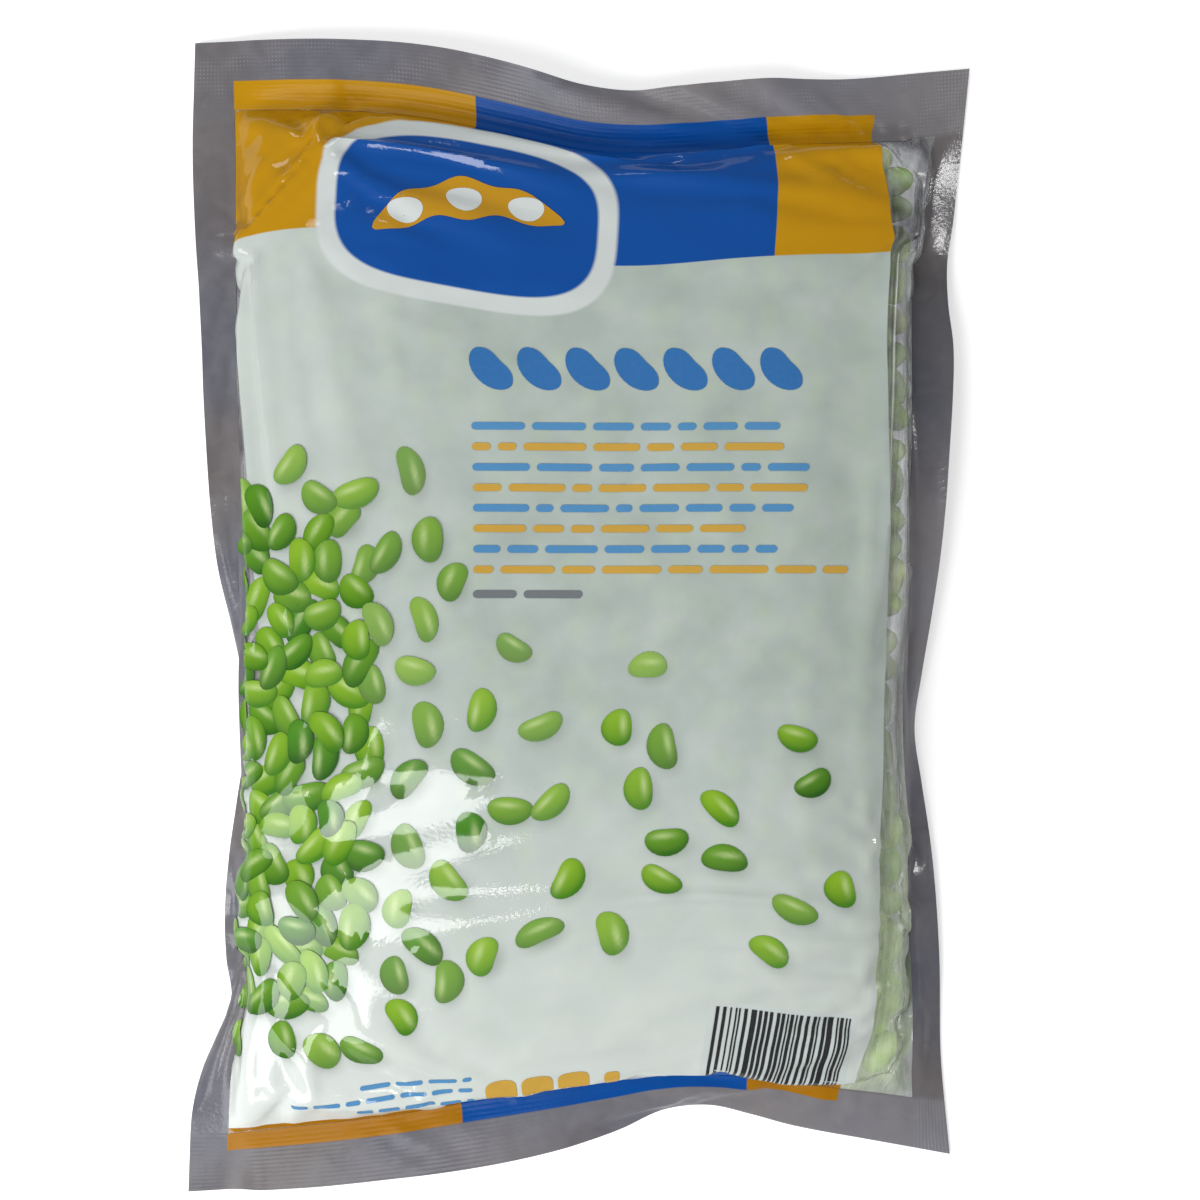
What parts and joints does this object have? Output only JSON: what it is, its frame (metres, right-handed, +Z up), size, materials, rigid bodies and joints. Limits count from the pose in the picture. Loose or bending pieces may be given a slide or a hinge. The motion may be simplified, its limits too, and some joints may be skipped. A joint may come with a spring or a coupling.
{
  "type": "bag of frozen shelled edamame",
  "caption": "Flat four-side-sealed film pouch of frozen shelled green soybeans, printed on its face, with a clear strip beside the print that shows the loose beans.",
  "frame": {"origin": "centre of the pouch's bounding box, on the surface it lies on", "axes": "+X across the pouch, with the printed side up and the top seal away; +Y along the pouch, towards its top seal; +Z up out of the printed face"},
  "size_m": [0.1994, 0.2932, 0.0305],
  "materials": {
    "printed_film": "glossy film, reverse printed",
    "clear_film": "glossy clear film",
    "seal_film": "heat-sealed film, lightly ribbed",
    "soybeans": "frosted seed skin"
  },
  "bodies": {
    "root": {"front_web": "printed_film", "back_web": "clear_film", "top_seal": "seal_film", "bottom_seal": "seal_film", "left_seal": "seal_film", "right_seal": "seal_film", "bean_bed": "soybeans", "edge_bean_01": "soybeans", "edge_bean_02": "soybeans", "edge_bean_03": "soybeans", "edge_bean_04": "soybeans", "edge_bean_05": "soybeans", "edge_bean_06": "soybeans", "edge_bean_07": "soybeans", "edge_bean_08": "soybeans", "edge_bean_09": "soybeans", "edge_bean_10": "soybeans", "edge_bean_11": "soybeans", "edge_bean_12": "soybeans", "edge_bean_13": "soybeans", "edge_bean_14": "soybeans", "edge_bean_15": "soybeans", "edge_bean_16": "soybeans", "edge_bean_17": "soybeans", "upper_bean_01": "soybeans", "upper_bean_02": "soybeans", "upper_bean_03": "soybeans", "upper_bean_04": "soybeans", "upper_bean_05": "soybeans", "upper_bean_06": "soybeans", "upper_bean_07": "soybeans", "upper_bean_08": "soybeans", "upper_bean_09": "soybeans", "upper_bean_10": "soybeans", "upper_bean_11": "soybeans", "upper_bean_12": "soybeans", "upper_bean_13": "soybeans", "upper_bean_14": "soybeans", "upper_bean_15": "soybeans", "upper_bean_16": "soybeans", "upper_bean_17": "soybeans", "upper_bean_18": "soybeans", "lower_bean_01": "soybeans", "lower_bean_02": "soybeans", "lower_bean_03": "soybeans", "lower_bean_04": "soybeans", "lower_bean_05": "soybeans", "lower_bean_06": "soybeans", "lower_bean_07": "soybeans", "lower_bean_08": "soybeans", "lower_bean_09": "soybeans", "lower_bean_10": "soybeans", "lower_bean_11": "soybeans"}
  },
  "joints": []
}
